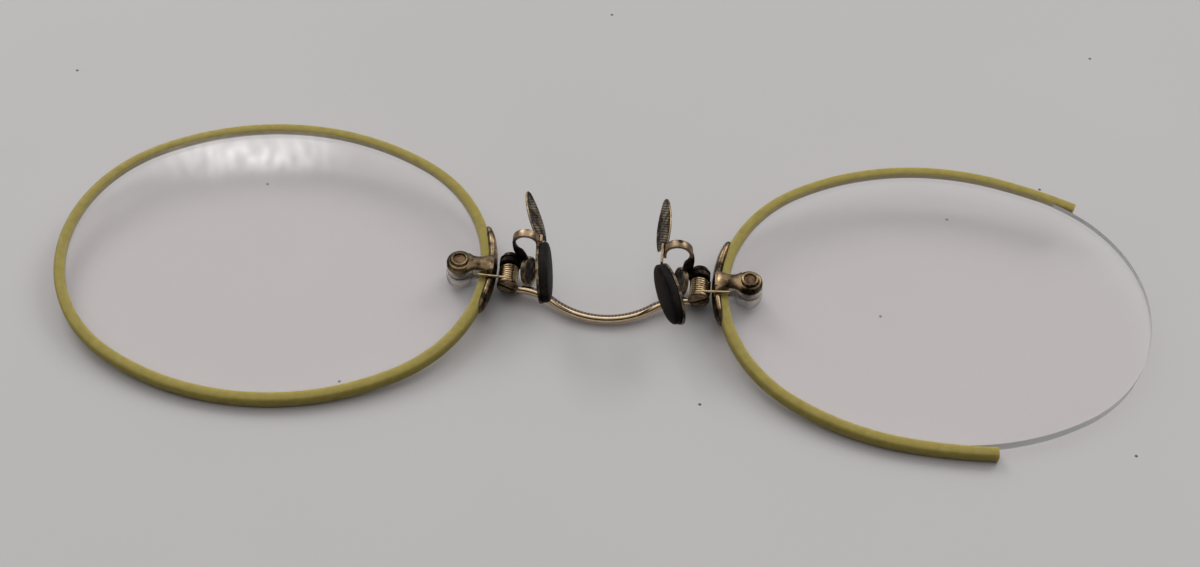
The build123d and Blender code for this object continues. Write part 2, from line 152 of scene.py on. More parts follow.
class Bench:
    """Blender's modelling tools, used on one piece at a time as by hand."""

    @staticmethod
    def clear() -> None:
        """Deselects every object."""
        bpy.ops.object.select_all(action="DESELECT")

    @staticmethod
    @contextmanager
    def editing(piece: Object) -> Iterator[Mesh]:
        """Holds a piece in edit mode with all of it selected."""
        bpy.context.view_layer.objects.active = piece
        piece.select_set(True)
        bpy.ops.object.mode_set(mode="EDIT")
        bpy.ops.mesh.select_all(action="SELECT")
        try:
            yield piece.data
        finally:
            bpy.ops.object.mode_set(mode="OBJECT")

    @classmethod
    def draw(cls, name: str, section: Section, stations: Sequence[Station], flat: float = 1.0,
             power: float = 1.0) -> Object:
        """Draws a filled section out through its stations, as a closed body.

        Args:
            name: The body's name.
            section: The unit section.
            stations: Where it passes, from end to end.
            flat: Where its across side is cut flat, as a share of its half width.
            power: Below 1, how square the section's four sides are pressed.

        Returns:
            The new object.
        """
        square = section is Section.SQUARE
        cls.clear()
        bpy.ops.mesh.primitive_circle_add(
            vertices=section.value, radius=sqrt(2) if square else 1, fill_type="NGON",
            rotation=(0, 0, pi / 4 if square else 0))
        piece = bpy.context.object
        piece.name = piece.data.name = name
        bpy.ops.object.transform_apply(rotation=True)
        for vertex in piece.data.vertices:
            across, deep = (copysign(abs(reach) ** power, reach) for reach in vertex.co.xy)
            vertex.co.xy = min(across, flat), deep
        places = [station.matrix() for station in stations]
        piece.data.transform(places[0])
        with cls.editing(piece) as mesh:
            for before, after in zip(places, places[1:]):
                bpy.ops.mesh.extrude_region_move()
                shape = bmesh.from_edit_mesh(mesh)
                chosen = [vertex for vertex in shape.verts if vertex.select]
                bmesh.ops.transform(shape, matrix=after @ before.inverted(), verts=chosen)
            bmesh.update_edit_mesh(mesh)
            bpy.ops.mesh.select_all(action="SELECT")
            bpy.ops.mesh.normals_make_consistent(inside=False)
        return piece

    @classmethod
    def turned(cls, name: str, start: Vector, axis: Vector, profile: Sequence[Pair],
               oval: tuple[Vector, float] | None = None) -> Object:
        """Draws a round or oval body up an axis, as on a lathe.

        Args:
            name: The body's name.
            start: The profile's zero on the axis.
            axis: The way of the axis.
            profile: Heights on the axis and radii there.
            oval: The way of the long radius, and the short radius as a share of it.

        Returns:
            The new object.
        """
        way, share = oval or (axis.orthogonal(), 1.0)
        unit = axis.normalized()
        return cls.draw(name, Section.FINE, [Station(start + unit * height, unit, way, radius, radius * share)
                                             for height, radius in profile])

    @classmethod
    def plate(cls, name: str, stations: Sequence[Station], rounding: float, segments: int = 3) -> Object:
        """Draws a square section through its stations and rounds its edges."""
        body = cls.draw(name, Section.SQUARE, stations)
        cls.soften(body, rounding, segments)
        return body

    @staticmethod
    def modify(piece: Object, kind: str, **settings: Any) -> None:
        """Adds a modifier and applies it."""
        bpy.context.view_layer.objects.active = piece
        modifier = piece.modifiers.new(kind.lower(), kind)
        for key, value in settings.items():
            setattr(modifier, key, value)
        bpy.ops.object.modifier_apply(modifier=modifier.name)

    @classmethod
    def soften(cls, piece: Object, width: float, segments: int = 3, sharpest: float = 40.0) -> None:
        """Rounds the edges that turn by more than some degrees."""
        cls.modify(piece, "BEVEL", width=width, segments=segments, limit_method="ANGLE",
                   angle_limit=radians(sharpest))

    @classmethod
    def join(cls, name: str, pieces: Sequence[Object]) -> Object:
        """Joins several bodies into one piece."""
        cls.clear()
        for piece in pieces:
            piece.select_set(True)
        bpy.context.view_layer.objects.active = pieces[0]
        bpy.ops.object.join()
        pieces[0].name = pieces[0].data.name = name
        return pieces[0]

    @classmethod
    def cut(cls, piece: Object, cutter: Object) -> None:
        """Cuts one body out of another."""
        cls.modify(piece, "BOOLEAN", operation="DIFFERENCE", object=cutter, solver="EXACT")
        bpy.data.objects.remove(cutter)

    @staticmethod
    def mark(piece: Object, stations: Sequence[Station]) -> None:
        """Writes how far across a piece each vertex lies, in half widths, for a finish on one of its sides.

        Args:
            piece: A body drawn through the stations.
            stations: Those stations, all at one height.
        """
        tree = kdtree.KDTree(len(stations))
        for index, station in enumerate(stations):
            tree.insert(station.middle, index)
        tree.balance()
        across = piece.data.attributes.new("across", "FLOAT", "POINT")
        for vertex in piece.data.vertices:
            _, index, _ = tree.find(Vector((*vertex.co.xy, stations[0].middle.z)))
            station = stations[index]
            out = (vertex.co - station.middle).dot(station.across.normalized())
            across.data[vertex.index].value = out / station.half_width

    @classmethod
    def finish(cls, piece: Object, place: Matrix, angle: float) -> None:
        """Takes a finished piece to the model's frame, with outward faces and smooth shading.

        Args:
            piece: The piece, in millimetres of its half.
            place: The matrix of its half.
            angle: The sharpest angle in degrees that is shaded smooth.
        """
        cls.clear()
        piece.matrix_world = place
        piece.select_set(True)
        bpy.context.view_layer.objects.active = piece
        bpy.ops.object.transform_apply(location=True, rotation=True, scale=True)
        with cls.editing(piece):
            bpy.ops.mesh.normals_make_consistent(inside=False)
        bpy.ops.object.shade_smooth_by_angle(angle=radians(angle))


# ---------- finishes ----------
@dataclass(frozen=True)
class Worn:
    """A metal or resin that is worn bright, with grime in patches of some scale and cover."""

    name: str
    clean: Colour
    grime: Colour
    feature: float
    cover: float
    polish: float
    dullness: float
    knurl: float = 0.0
    clearness: float = 0.0


@dataclass(frozen=True)
class Plain:
    """Glass or a table top: its colour, that of its ground edge or its dust, and its roughness."""

    name: str
    colour: Colour
    other: Colour
    roughness: float


SHOE_GOLD = Worn("shoe_gold", (0.27, 0.19, 0.1), (0.02, 0.014, 0.008), 600, 0.56, 0.16, 0.42)
LEVER_BRONZE = Worn("lever_bronze", (0.2, 0.155, 0.1), (0.02, 0.014, 0.01), 1100, 0.6, 0.34, 0.6)
# Painted shade: a near-black metal for the parts and faces that lie in shade; its patches are grime.
PAINTED_SHADE_METAL = Worn("hub_dark", (0.085, 0.06, 0.04), (0.012, 0.009, 0.007), 1300, 0.7, 0.35, 0.65)
LOOP_GOLD = Worn("loop_gold", (0.28, 0.2, 0.125), (0.03, 0.02, 0.013), 900, 0.45, 0.24, 0.48)
EDGE_GOLD = Worn("edge_gold", (0.33, 0.25, 0.15), (0.06, 0.045, 0.03), 1400, 0.4, 0.3, 0.55)
# Painted sheen: the lower ear's pale grey stands in for how it looks through the glass.
PALE_EAR_SHEEN = Worn("pale_nickel", (0.4, 0.37, 0.32), (0.22, 0.19, 0.16), 700, 0.4, 0.5, 0.75)
SCREW_COPPER = Worn("screw_copper", (0.26, 0.18, 0.105), (0.025, 0.017, 0.01), 1200, 0.5, 0.18, 0.42)
SCREW_BROWN = Worn("screw_brown", (0.13, 0.08, 0.045), (0.02, 0.012, 0.008), 1300, 0.5, 0.35, 0.6)
SPRING_GOLD = Worn("spring_gold", (0.5, 0.38, 0.22), (0.05, 0.035, 0.02), 1500, 0.35, 0.16, 0.38)
BRIDGE_GOLD = Worn("bridge_gold", (0.84, 0.64, 0.4), (0.35, 0.25, 0.15), 400, 0.1, 0.1, 0.22)
GUARD_KNURLED = Worn("guard_knurled", (0.17, 0.135, 0.085), (0.018, 0.013, 0.009), 1000, 0.62, 0.35, 0.6, 0.7)
WASHER_STEEL = Worn("washer_steel", (0.42, 0.4, 0.36), (0.22, 0.2, 0.17), 900, 0.3, 0.5, 0.75)
RIM_CELLULOID = Worn("rim_celluloid", (0.34, 0.28, 0.08), (0.14, 0.112, 0.055), 260, 0.16, 0.24, 0.45,
                     clearness=0.55)
PAD_BLACK = Worn("pad_black", (0.006, 0.005, 0.0045), (0.04, 0.025, 0.016), 650, 0.4, 0.45, 0.7)
LENS_GLASS = Plain("lens_glass", (0.95, 0.935, 0.936), (0.58, 0.59, 0.6), 0.015)
TABLE_TOP = Plain("table_top", (0.5, 0.484, 0.472), (0.08, 0.07, 0.06), 0.6)


class Board:
    """Adds and joins the nodes of one tree."""

    def __init__(self, tree: NodeTree) -> None:
        """Starts on an empty tree."""
        self.tree = tree
        tree.nodes.clear()

    def add(self, kind: str, inputs: dict[str | int, Any] | None = None, **settings: Any) -> Node:
        """Adds a node.

        Args:
            kind: The node's type, without its ShaderNode prefix.
            inputs: Values, or sockets to join, for its inputs.
            settings: Its other properties.

        Returns:
            The new node.
        """
        node = self.tree.nodes.new(f"ShaderNode{kind}")
        for key, value in settings.items():
            setattr(node, key, value)
        for key, value in (inputs or {}).items():
            if isinstance(value, NodeSocket):
                self.tree.links.new(value, node.inputs[key])
            else:
                node.inputs[key].default_value = value
        return node

    def math(self, operation: str, *values: Any, clamp: bool = False) -> NodeSocket:
        """A Math node's result."""
        return self.add("Math", dict(enumerate(values)), operation=operation, use_clamp=clamp).outputs[0]

    def mix(self, factor: Any, first: Any, second: Any) -> NodeSocket:
        """A mix of two colours."""
        return self.add("Mix", {0: factor, 6: first, 7: second}, data_type="RGBA").outputs[2]

    def coat(self, patina: Node, height: NodeSocket, strength: float, depth: float,
             more: dict[str, Any]) -> None:
        """Ends a material in one shader, with the patina's colour and roughness and a bump.

        Args:
            patina: The node that gives the colour and the roughness.
            height: The bump's height.
            strength: The bump's strength.
            depth: The bump's depth in metres.
            more: The shader's other inputs.
        """
        bump = self.add("Bump", {"Height": height, "Strength": strength, "Distance": depth})
        shader = self.add("BsdfPrincipled", {
            "Base Color": patina.outputs["Color"], "Roughness": patina.outputs["Roughness"],
            "Normal": bump.outputs[0], **more})
        self.add("OutputMaterial", {"Surface": shader.outputs[0]})


def opaque(colour: Colour) -> tuple[float, float, float, float]:
    """The colour with full alpha."""
    return (*colour, 1.0)


class FinishShop:
    """Builds the shared node groups and one material for each finish."""

    knurl_pitch = 0.00034
    notch_pitch = 0.00032
    # Near-black painted shade for the flat side of the bridge wire.
    flat_shade_colour = (0.03, 0.02, 0.012)
    resin_scatter = (0.9, 0.8, 0.2)
    dust_cells, dust_radius, dust_rarity = 60.0, 0.009, 0.55

    def __init__(self) -> None:
        """Makes the node groups."""
        self.patina = self._patina_group()
        self.knurling = self._knurling_group()

    @staticmethod
    def _group(name: str, inputs: dict[str, str], outputs: dict[str, str]) -> tuple[Any, Any, Any, Board]:
        """Starts a node group.

        Args:
            name: The group's name.
            inputs: Its inputs' names and kinds of socket.
            outputs: Its outputs' names and kinds of socket.

        Returns:
            The group, its input node, its output node and its board.
        """
        group = bpy.data.node_groups.new(name, "ShaderNodeTree")
        for way, sockets in (("INPUT", inputs), ("OUTPUT", outputs)):
            for socket, kind in sockets.items():
                group.interface.new_socket(socket, in_out=way, socket_type=f"NodeSocket{kind}")
        board = Board(group)
        return group, group.nodes.new("NodeGroupInput"), group.nodes.new("NodeGroupOutput"), board

    def _patina_group(self) -> NodeTree:
        """Patches of a second colour and roughness over a first, with a fine variation in both."""
        group, given, result, board = self._group(
            "patina",
            {"Clean": "Color", "Grime": "Color", "Feature": "Float", "Cover": "Float", "Polish": "Float",
             "Dullness": "Float"},
            {"Color": "Color", "Roughness": "Float", "Height": "Float"})
        clean, grime, feature, cover, polish, dullness = given.outputs[:6]
        place = board.add("TexCoord").outputs["Object"]
        broad = board.add("TexNoise", {"Vector": place, "Scale": feature, "Detail": 6.0, "Roughness": 0.62})
        fine = board.add("TexNoise", {"Vector": place, "Scale": board.math("MULTIPLY", feature, 6.0),
                                      "Detail": 4.0}).outputs[0]
        above = board.math("SUBTRACT", broad.outputs[0], board.math("MULTIPLY_ADD", cover, -0.55, 0.75))
        patch = board.math("MULTIPLY_ADD", above, 5.0, 0.2, clamp=True)
        shade = board.math("MULTIPLY_ADD", fine, 0.5, 0.75)
        shaded = board.add("VectorMath", {0: clean, "Scale": shade}, operation="SCALE")
        span = board.math("SUBTRACT", dullness, polish)
        uneven = board.math("MULTIPLY_ADD", fine, 0.5, board.math("MULTIPLY", patch, 0.75))
        results = {"Color": board.mix(patch, shaded.outputs[0], grime),
                   "Roughness": board.math("MULTIPLY_ADD", uneven, span, polish, clamp=True),
                   "Height": board.math("MULTIPLY_ADD", fine, 0.4, patch)}
        for name, socket in results.items():
            group.links.new(socket, result.inputs[name])
        return group

    def _knurling_group(self) -> NodeTree:
        """Rows of small pyramids, crossed at a slant."""
        group, given, result, board = self._group("knurling", {"Pitch": "Float"}, {"Height": "Float"})
        place = board.add("SeparateXYZ", {0: board.add("TexCoord").outputs["Object"]})
        heights = []
        for sign in (1.0, -1.0):
            slant = board.math("MULTIPLY_ADD", place.outputs["Z"], sign, place.outputs["Y"])
            heights.append(board.math("PINGPONG", board.math("DIVIDE", slant, given.outputs["Pitch"]), 0.5))
        group.links.new(board.math("ADD", *heights), result.inputs["Height"])
        return group

    @staticmethod
    def start(name: str) -> tuple[Material, Board]:
        """A new node material and its board."""
        material = bpy.data.materials.new(name)
        material.use_nodes = True
        return material, Board(material.node_tree)

    def _worn(self, finish: Worn) -> tuple[Material, Board, Node]:
        """Starts a worn material: the material, its board, and the patina group with the finish's values."""
        material, board = self.start(finish.name)
        values = (opaque(finish.clean), opaque(finish.grime), finish.feature, finish.cover, finish.polish,
                  finish.dullness)
        return material, board, board.add("Group", dict(enumerate(values)), node_tree=self.patina)

    @cache
    def metal(self, finish: Worn) -> Material:
        """The material of a metal finish."""
        material, board, patina = self._worn(finish)
        height, strength = patina.outputs["Height"], 0.35 * finish.polish
        if finish.knurl:
            knurl = board.add("Group", {"Pitch": self.knurl_pitch}, node_tree=self.knurling)
            height = board.math("MULTIPLY_ADD", knurl.outputs["Height"], 3.0, height)
            strength = finish.knurl
        board.coat(patina, height, strength, 0.00008, {"Metallic": 1.0})
        return material

    def notched(self, finish: Worn, flat: float) -> Material:
        """A bright wire's material, with fine notches on its flat side, which is painted near-black as shade.

        Args:
            finish: The wire's finish.
            flat: How far across the wire its flat lies, as a share of its half width.

        Returns:
            The material.
        """
        material, board, patina = self._worn(finish)
        across = board.add("Attribute", attribute_name="across").outputs["Fac"]
        on_flat = board.math("GREATER_THAN", across, flat - 0.06)
        place = board.add("SeparateXYZ", {0: board.add("TexCoord").outputs["Object"]})
        notch = board.math("PINGPONG", board.math("DIVIDE", place.outputs["X"], self.notch_pitch), 0.5)
        notches = board.math("MULTIPLY", board.math("MULTIPLY_ADD", notch, 0.7, 0.65), on_flat)
        # On the flat, the notch stripes mix in that near-black at 65 to 100 percent: painted shade over the
        # whole flat.
        colour = board.mix(notches, patina.outputs["Color"], opaque(self.flat_shade_colour))
        height = board.math("SUBTRACT", board.math("MULTIPLY", patina.outputs["Height"], 0.1), notches)
        board.coat(patina, height, 0.3, 0.00006, {"Base Color": colour, "Metallic": 1.0})
        return material

    @cache
    def resin(self, finish: Worn) -> Material:
        """The material of a resin finish, which light enters a little."""
        material, board, patina = self._worn(finish)
        board.coat(patina, patina.outputs["Height"], 0.12, 0.0001, {
            "Subsurface Weight": finish.clearness, "Subsurface Radius": self.resin_scatter,
            "Subsurface Scale": MILLIMETRE, "Specular IOR Level": 0.06})
        return material

    @cache
    def glass(self, finish: Plain) -> Material:
        """The material of clear glass with a ground edge, which lets light through to what lies under it."""
        material, board = self.start(finish.name)
        smear = board.add("TexNoise", {"Vector": board.add("TexCoord").outputs["Object"], "Scale": 120.0,
                                       "Detail": 5.0, "Roughness": 0.7})
        facing = board.add("SeparateXYZ", {0: board.add("NewGeometry").outputs["True Normal"]}).outputs["Z"]
        ground = board.math("LESS_THAN", board.math("ABSOLUTE", facing), 0.6)
        polished = board.math("MULTIPLY_ADD", smear.outputs[0], 0.03, finish.roughness)
        shader = board.add("BsdfPrincipled", {
            "Base Color": board.mix(ground, opaque(finish.colour), opaque(finish.other)),
            "Roughness": board.math("MULTIPLY_ADD", ground, 0.6, polished), "IOR": 1.5,
            "Transmission Weight": board.math("MULTIPLY_ADD", ground, -0.8, 1.0)})
        clear = board.add("BsdfTransparent", {"Color": opaque(finish.colour)})
        path = board.add("LightPath")
        unseen = board.math("MAXIMUM", path.outputs["Is Shadow Ray"], path.outputs["Is Diffuse Ray"])
        blend = board.add("MixShader", {0: unseen, 1: shader.outputs[0], 2: clear.outputs[0]})
        board.add("OutputMaterial", {"Surface": blend.outputs[0]})
        return material

    def table(self, finish: Plain) -> Material:
        """The material of the table top, with a few specks of dust."""
        material, board = self.start(finish.name)
        place = board.add("TexCoord").outputs["Object"]
        cloud = board.add("TexNoise", {"Vector": place, "Scale": 22.0, "Detail": 3.0})
        shade = board.math("MULTIPLY_ADD", cloud.outputs[0], 0.08, 0.96)
        tone = board.add("VectorMath", {0: finish.colour, "Scale": shade}, operation="SCALE")
        cell = board.add("TexVoronoi", {"Vector": place, "Scale": self.dust_cells}, voronoi_dimensions="2D")
        speck = board.math("LESS_THAN", cell.outputs["Distance"], self.dust_radius)
        rare = board.add("SeparateColor", {0: cell.outputs["Color"]})
        chosen = board.math("MULTIPLY", speck, board.math("GREATER_THAN", rare.outputs[0], self.dust_rarity))
        colour = board.mix(chosen, tone.outputs[0], opaque(finish.other))
        shader = board.add("BsdfPrincipled", {"Base Color": colour, "Roughness": finish.roughness})
        board.add("OutputMaterial", {"Surface": shader.outputs[0]})
        return material


def dress(piece: Object, material: Material) -> None:
    """Gives a whole piece one material."""
    piece.data.materials.clear()
    piece.data.materials.append(material)


def paint(piece: Object, materials: Sequence[Material], choose: Callable[[MeshPolygon], int]) -> None:
    """Gives each face of a piece the one of several materials that is chosen for it."""
    for material in materials:
        piece.data.materials.append(material)
    for face in piece.data.polygons:
        face.material_index = choose(face)


# ---------- modelled metalwork ----------
def smooth_step(share: float) -> float:
    """A share from 0 to 1, eased at both ends."""
    return share * share * (3 - 2 * share)


def ways(points: Sequence[Vector]) -> list[Vector]:
    """The way of a route at each of its points."""
    last = len(points) - 1
    return [points[min(index + 1, last)] - points[max(index - 1, 0)] for index in range(last + 1)]


@dataclass(frozen=True)
class Arc:
    """A round stretch of a route in the XY plane, between two angles in degrees."""

    centre: Vector
    radius: float
    start: float
    end: float

    def points(self, steps: int) -> list[Vector]:
        """Points along the arc, with both its ends."""
        angles = [radians(self.start + (self.end - self.start) * step / steps) for step in range(steps + 1)]
        return [self.centre + Vector((cos(a), sin(a), 0)) * self.radius for a in angles]


@dataclass
class Fitting:
    """What every modelled fitting shares: its half, its place and its finishes."""

    half: Half
    frame: LensFrame
    shop: FinishShop

    def deliver(self, piece: Object, node: str, body: str = "frame", slot: str = "mount_gold",
                angle: float = 60.0) -> None:
        """Finishes a piece and lets it stand for a CAD node.

        Args:
            piece: The piece, in millimetres.
            node: The CAD node's name without its half.
            body: The body that carries it.
            slot: The record's material slot; not used.
            angle: The sharpest angle in degrees that is shaded smooth.
        """
        Bench.finish(piece, self.frame.matrix(self.half), angle)
        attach(piece, body)
        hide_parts(self.half.node(node))
        LOG.info("%s: %d faces", piece.name, len(piece.data.polygons))


@dataclass
class GroovedRim(Fitting):
    """The oval plastic rim; the right one is broken off at the temple and its two ends stand off."""

    lens_x: float = 31.15
    half_width: float = 20.0
    half_height: float = 16.05
    end_radius: float = 14.45
    half_thickness: float = 0.54
    half_depth: float = 0.58
    straight_radius: float = 45.0
    straight_length: float = 8.0
    far_break: float = 76.0
    near_break: float = 263.0
    squareness: float = 0.52

    def arcs(self) -> list[Arc]:
        """The rim's arcs, counter-clockwise from the temple."""
        offset = self.half_width - self.end_radius
        drop = self.half_height - self.end_radius
        side_radius = (offset**2 + self.half_height**2 - self.end_radius**2) / (2 * drop)
        side_offset = side_radius - self.half_height
        joint = degrees(atan2(side_offset, offset))
        middle = Vector((self.lens_x, 0, 0))
        temple = Arc(middle + X_WAY * offset, self.end_radius, -joint, joint)
        far = Arc(middle - Y_WAY * side_offset, side_radius, joint, 180 - joint)
        nose = Arc(middle - X_WAY * offset, self.end_radius, 180 - joint, 180 + joint)
        near = Arc(middle + Y_WAY * side_offset, side_radius, 180 + joint, 360 - joint)
        if self.half is Half.LEFT:
            return [temple, far, nose, near]
        return [self.straightened(far, self.far_break, -1), replace(far, start=self.far_break), nose,
                replace(near, end=self.near_break), self.straightened(near, self.near_break, 1)]

    def straightened(self, arc: Arc, angle: float, way: int) -> Arc:
        """The stretch by a broken end, which has lost some of its curve.

        Args:
            arc: The arc that it goes on from.
            angle: Where it starts on that arc, in degrees.
            way: 1 onwards, -1 back.

        Returns:
            The straightened arc.
        """
        out = Vector((cos(radians(angle)), sin(radians(angle)), 0))
        span = way * degrees(self.straight_length / self.straight_radius)
        centre = arc.centre + out * (arc.radius - self.straight_radius)
        return Arc(centre, self.straight_radius, min(angle, angle + span), max(angle, angle + span))

    def build(self) -> None:
        """Draws the rim through its arcs, one station every two degrees or so."""
        stations = []
        for arc in self.arcs():
            points = arc.points(max(4, round((arc.end - arc.start) / 2)))
            for point in points[1:] if stations else points:
                out = point - arc.centre
                stations.append(Station(point, Z_WAY.cross(out), out, self.half_thickness, self.half_depth))
        rim = Bench.draw(self.half.node("oval_rim"), Section.ROUND, stations, power=self.squareness)
        if self.half is Half.LEFT:
            self.close(rim)
        dress(rim, self.shop.resin(RIM_CELLULOID))
        self.deliver(rim, "rim", slot="rim_celluloid")

    @staticmethod
    def close(rim: Object) -> None:
        """Takes the two end faces of a whole rim away and welds its seam."""
        with Bench.editing(rim) as mesh:
            shape = bmesh.from_edit_mesh(mesh)
            for face in shape.faces:
                face.select_set(len(face.verts) > 4)
            bmesh.update_edit_mesh(mesh)
            bpy.ops.mesh.delete(type="FACE")
            bpy.ops.mesh.select_all(action="SELECT")
            bpy.ops.mesh.remove_doubles(threshold=0.001)


@dataclass
class NoseBridge(Fitting):
    """The polished wire over the nose, milled flat and notched on its inner side."""

    end_x: float = 8.08
    end_y: float = -0.7
    rise: float = 2.8
    crown_radius: float = 7.5
    wire_z: float = -1.15
    half_wire: float = 0.425
    flat: float = 0.74
    flat_lift: float = radians(58)

    def build(self) -> None:
        """Draws the wire from the left foot over the crown to the right foot."""
        half_angle = 2 * atan(self.rise / self.end_x)
        crown_y = self.end_y - self.rise
        turn = degrees(half_angle)
        knee_x = self.crown_radius * sin(half_angle)
        foot_radius = (self.end_x - knee_x) / sin(half_angle)
        crown = Vector((0, crown_y + self.crown_radius, self.wire_z))
        left_foot = Vector((-self.end_x, self.end_y - foot_radius, self.wire_z))
        right_foot = Vector((self.end_x, self.end_y - foot_radius, self.wire_z))
        route = [*Arc(left_foot, foot_radius, 90, 90 - turn).points(12)[:-1],
                 *Arc(crown, self.crown_radius, 270 - turn, 270 + turn).points(44),
                 *Arc(right_foot, foot_radius, 90 + turn, 90).points(12)[1:]]
        stations = []
        for point, along in zip(route, ways(route)):
            inwards = Z_WAY.cross(along).normalized()
            flat_way = inwards * cos(self.flat_lift) + Z_WAY * sin(self.flat_lift)
            stations.append(Station(point, along, flat_way, self.half_wire, self.half_wire))
        bridge = Bench.draw("nose_bridge", Section.ROUND, stations, self.flat)
        Bench.mark(bridge, stations)
        # Its flat side is painted near-black: painted shade.
        dress(bridge, self.shop.notched(BRIDGE_GOLD, self.flat))
        Bench.finish(bridge, self.frame.matrix(), 60)
        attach(bridge, "frame")
        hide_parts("bridge")
        LOG.info("%s: %d faces", bridge.name, len(bridge.data.polygons))


@dataclass
class PivotCradle(Fitting):
    """The bracket under the spring, painted near-black as shade, with the lug that the pivot screw is threaded
    into.
    """

    near_y: float = -1.2
    far_y: float = 2.05
    foot_z: float = -1.22
    lug_near: float = 1.715
    lug_depth: float = 0.35
    lug_radius: float = 0.75
    lug_bore: float = 0.47
    half_web: float = 0.17

    def build(self) -> None:
        """Draws the foot and the lug, and joins them."""
        foot = Bench.draw("foot", Section.ROUND, [
            Station(Vector((x, y, self.foot_z)), Y_WAY, X_WAY, width, depth)
            for y, x, width, depth in ((self.near_y, 8.75, 0.3, 0.1), (self.near_y + 0.12, 8.8, 0.55, 0.18),
                                       (self.near_y + 0.5, 8.95, 0.8, 0.2), (0.4, 9.1, 0.95, 0.2),
                                       (self.far_y - 0.25, 9.1, 0.95, 0.2), (self.far_y, 9.05, 0.7, 0.14))])
        depth, radius = self.lug_depth, self.lug_radius
        lug = Bench.turned("lug", on_pivot(self.lug_near), Y_WAY, [
            (0, self.lug_bore), (0, 0.7), (0.06, radius), (depth - 0.08, radius), (depth, 0.66),
            (depth, self.lug_bore)])
        middle = on_pivot(self.lug_near + depth / 2)
        web = Bench.plate("web", [Station(Vector((middle.x, middle.y, z)), Z_WAY, X_WAY, width, self.half_web)
                                  for z, width in ((-1.2, 0.75), (-0.7, 0.6), (-0.3, 0.6))], 0.06)
        cradle = Bench.join(self.half.node("pivot_cradle"), [foot, lug, web])
        # The whole cradle is painted near-black: painted shade.
        dress(cradle, self.shop.metal(PAINTED_SHADE_METAL))
        self.deliver(cradle, "pivot_bracket", angle=50)


@dataclass
class GuardSpring(Fitting):
    """The close-wound coil on the pivot screw, with its long leg over the shoe."""

    half_wire: float = 0.13
    radius: float = 0.77
    turns: float = 6.75
    near_y: float = -1.1
    far_y: float = 0.62
    leg_tip: Triple = (11.75, -0.95, 0.98)
    steps_a_turn: int = 24

    def route(self) -> list[Vector]:
        """The wire's middle line: the leg from its tip, and then the coil from its top at the near end."""
        coil_start = on_pivot(self.near_y, self.radius, pi / 2)
        points = [Vector(self.leg_tip).lerp(coil_start, step / 4) for step in range(4)]
        steps = round(self.turns * self.steps_a_turn)
        for step in range(steps + 1):
            y = self.near_y + (self.far_y - self.near_y) * step / steps
            points.append(on_pivot(y, self.radius, pi / 2 + 2 * pi * step / self.steps_a_turn))
        return points

    def build(self) -> None:
        """Draws the wire through leg and coil."""
        points = self.route()
        stations = [Station(point, along, Y_WAY, self.half_wire, self.half_wire)
                    for point, along in zip(points, ways(points))]
        spring = Bench.draw(self.half.node("wound_spring"), Section.WIRE, stations)
        dress(spring, self.shop.metal(SPRING_GOLD))
        self.deliver(spring, "guard_spring", slot="spring_wire")


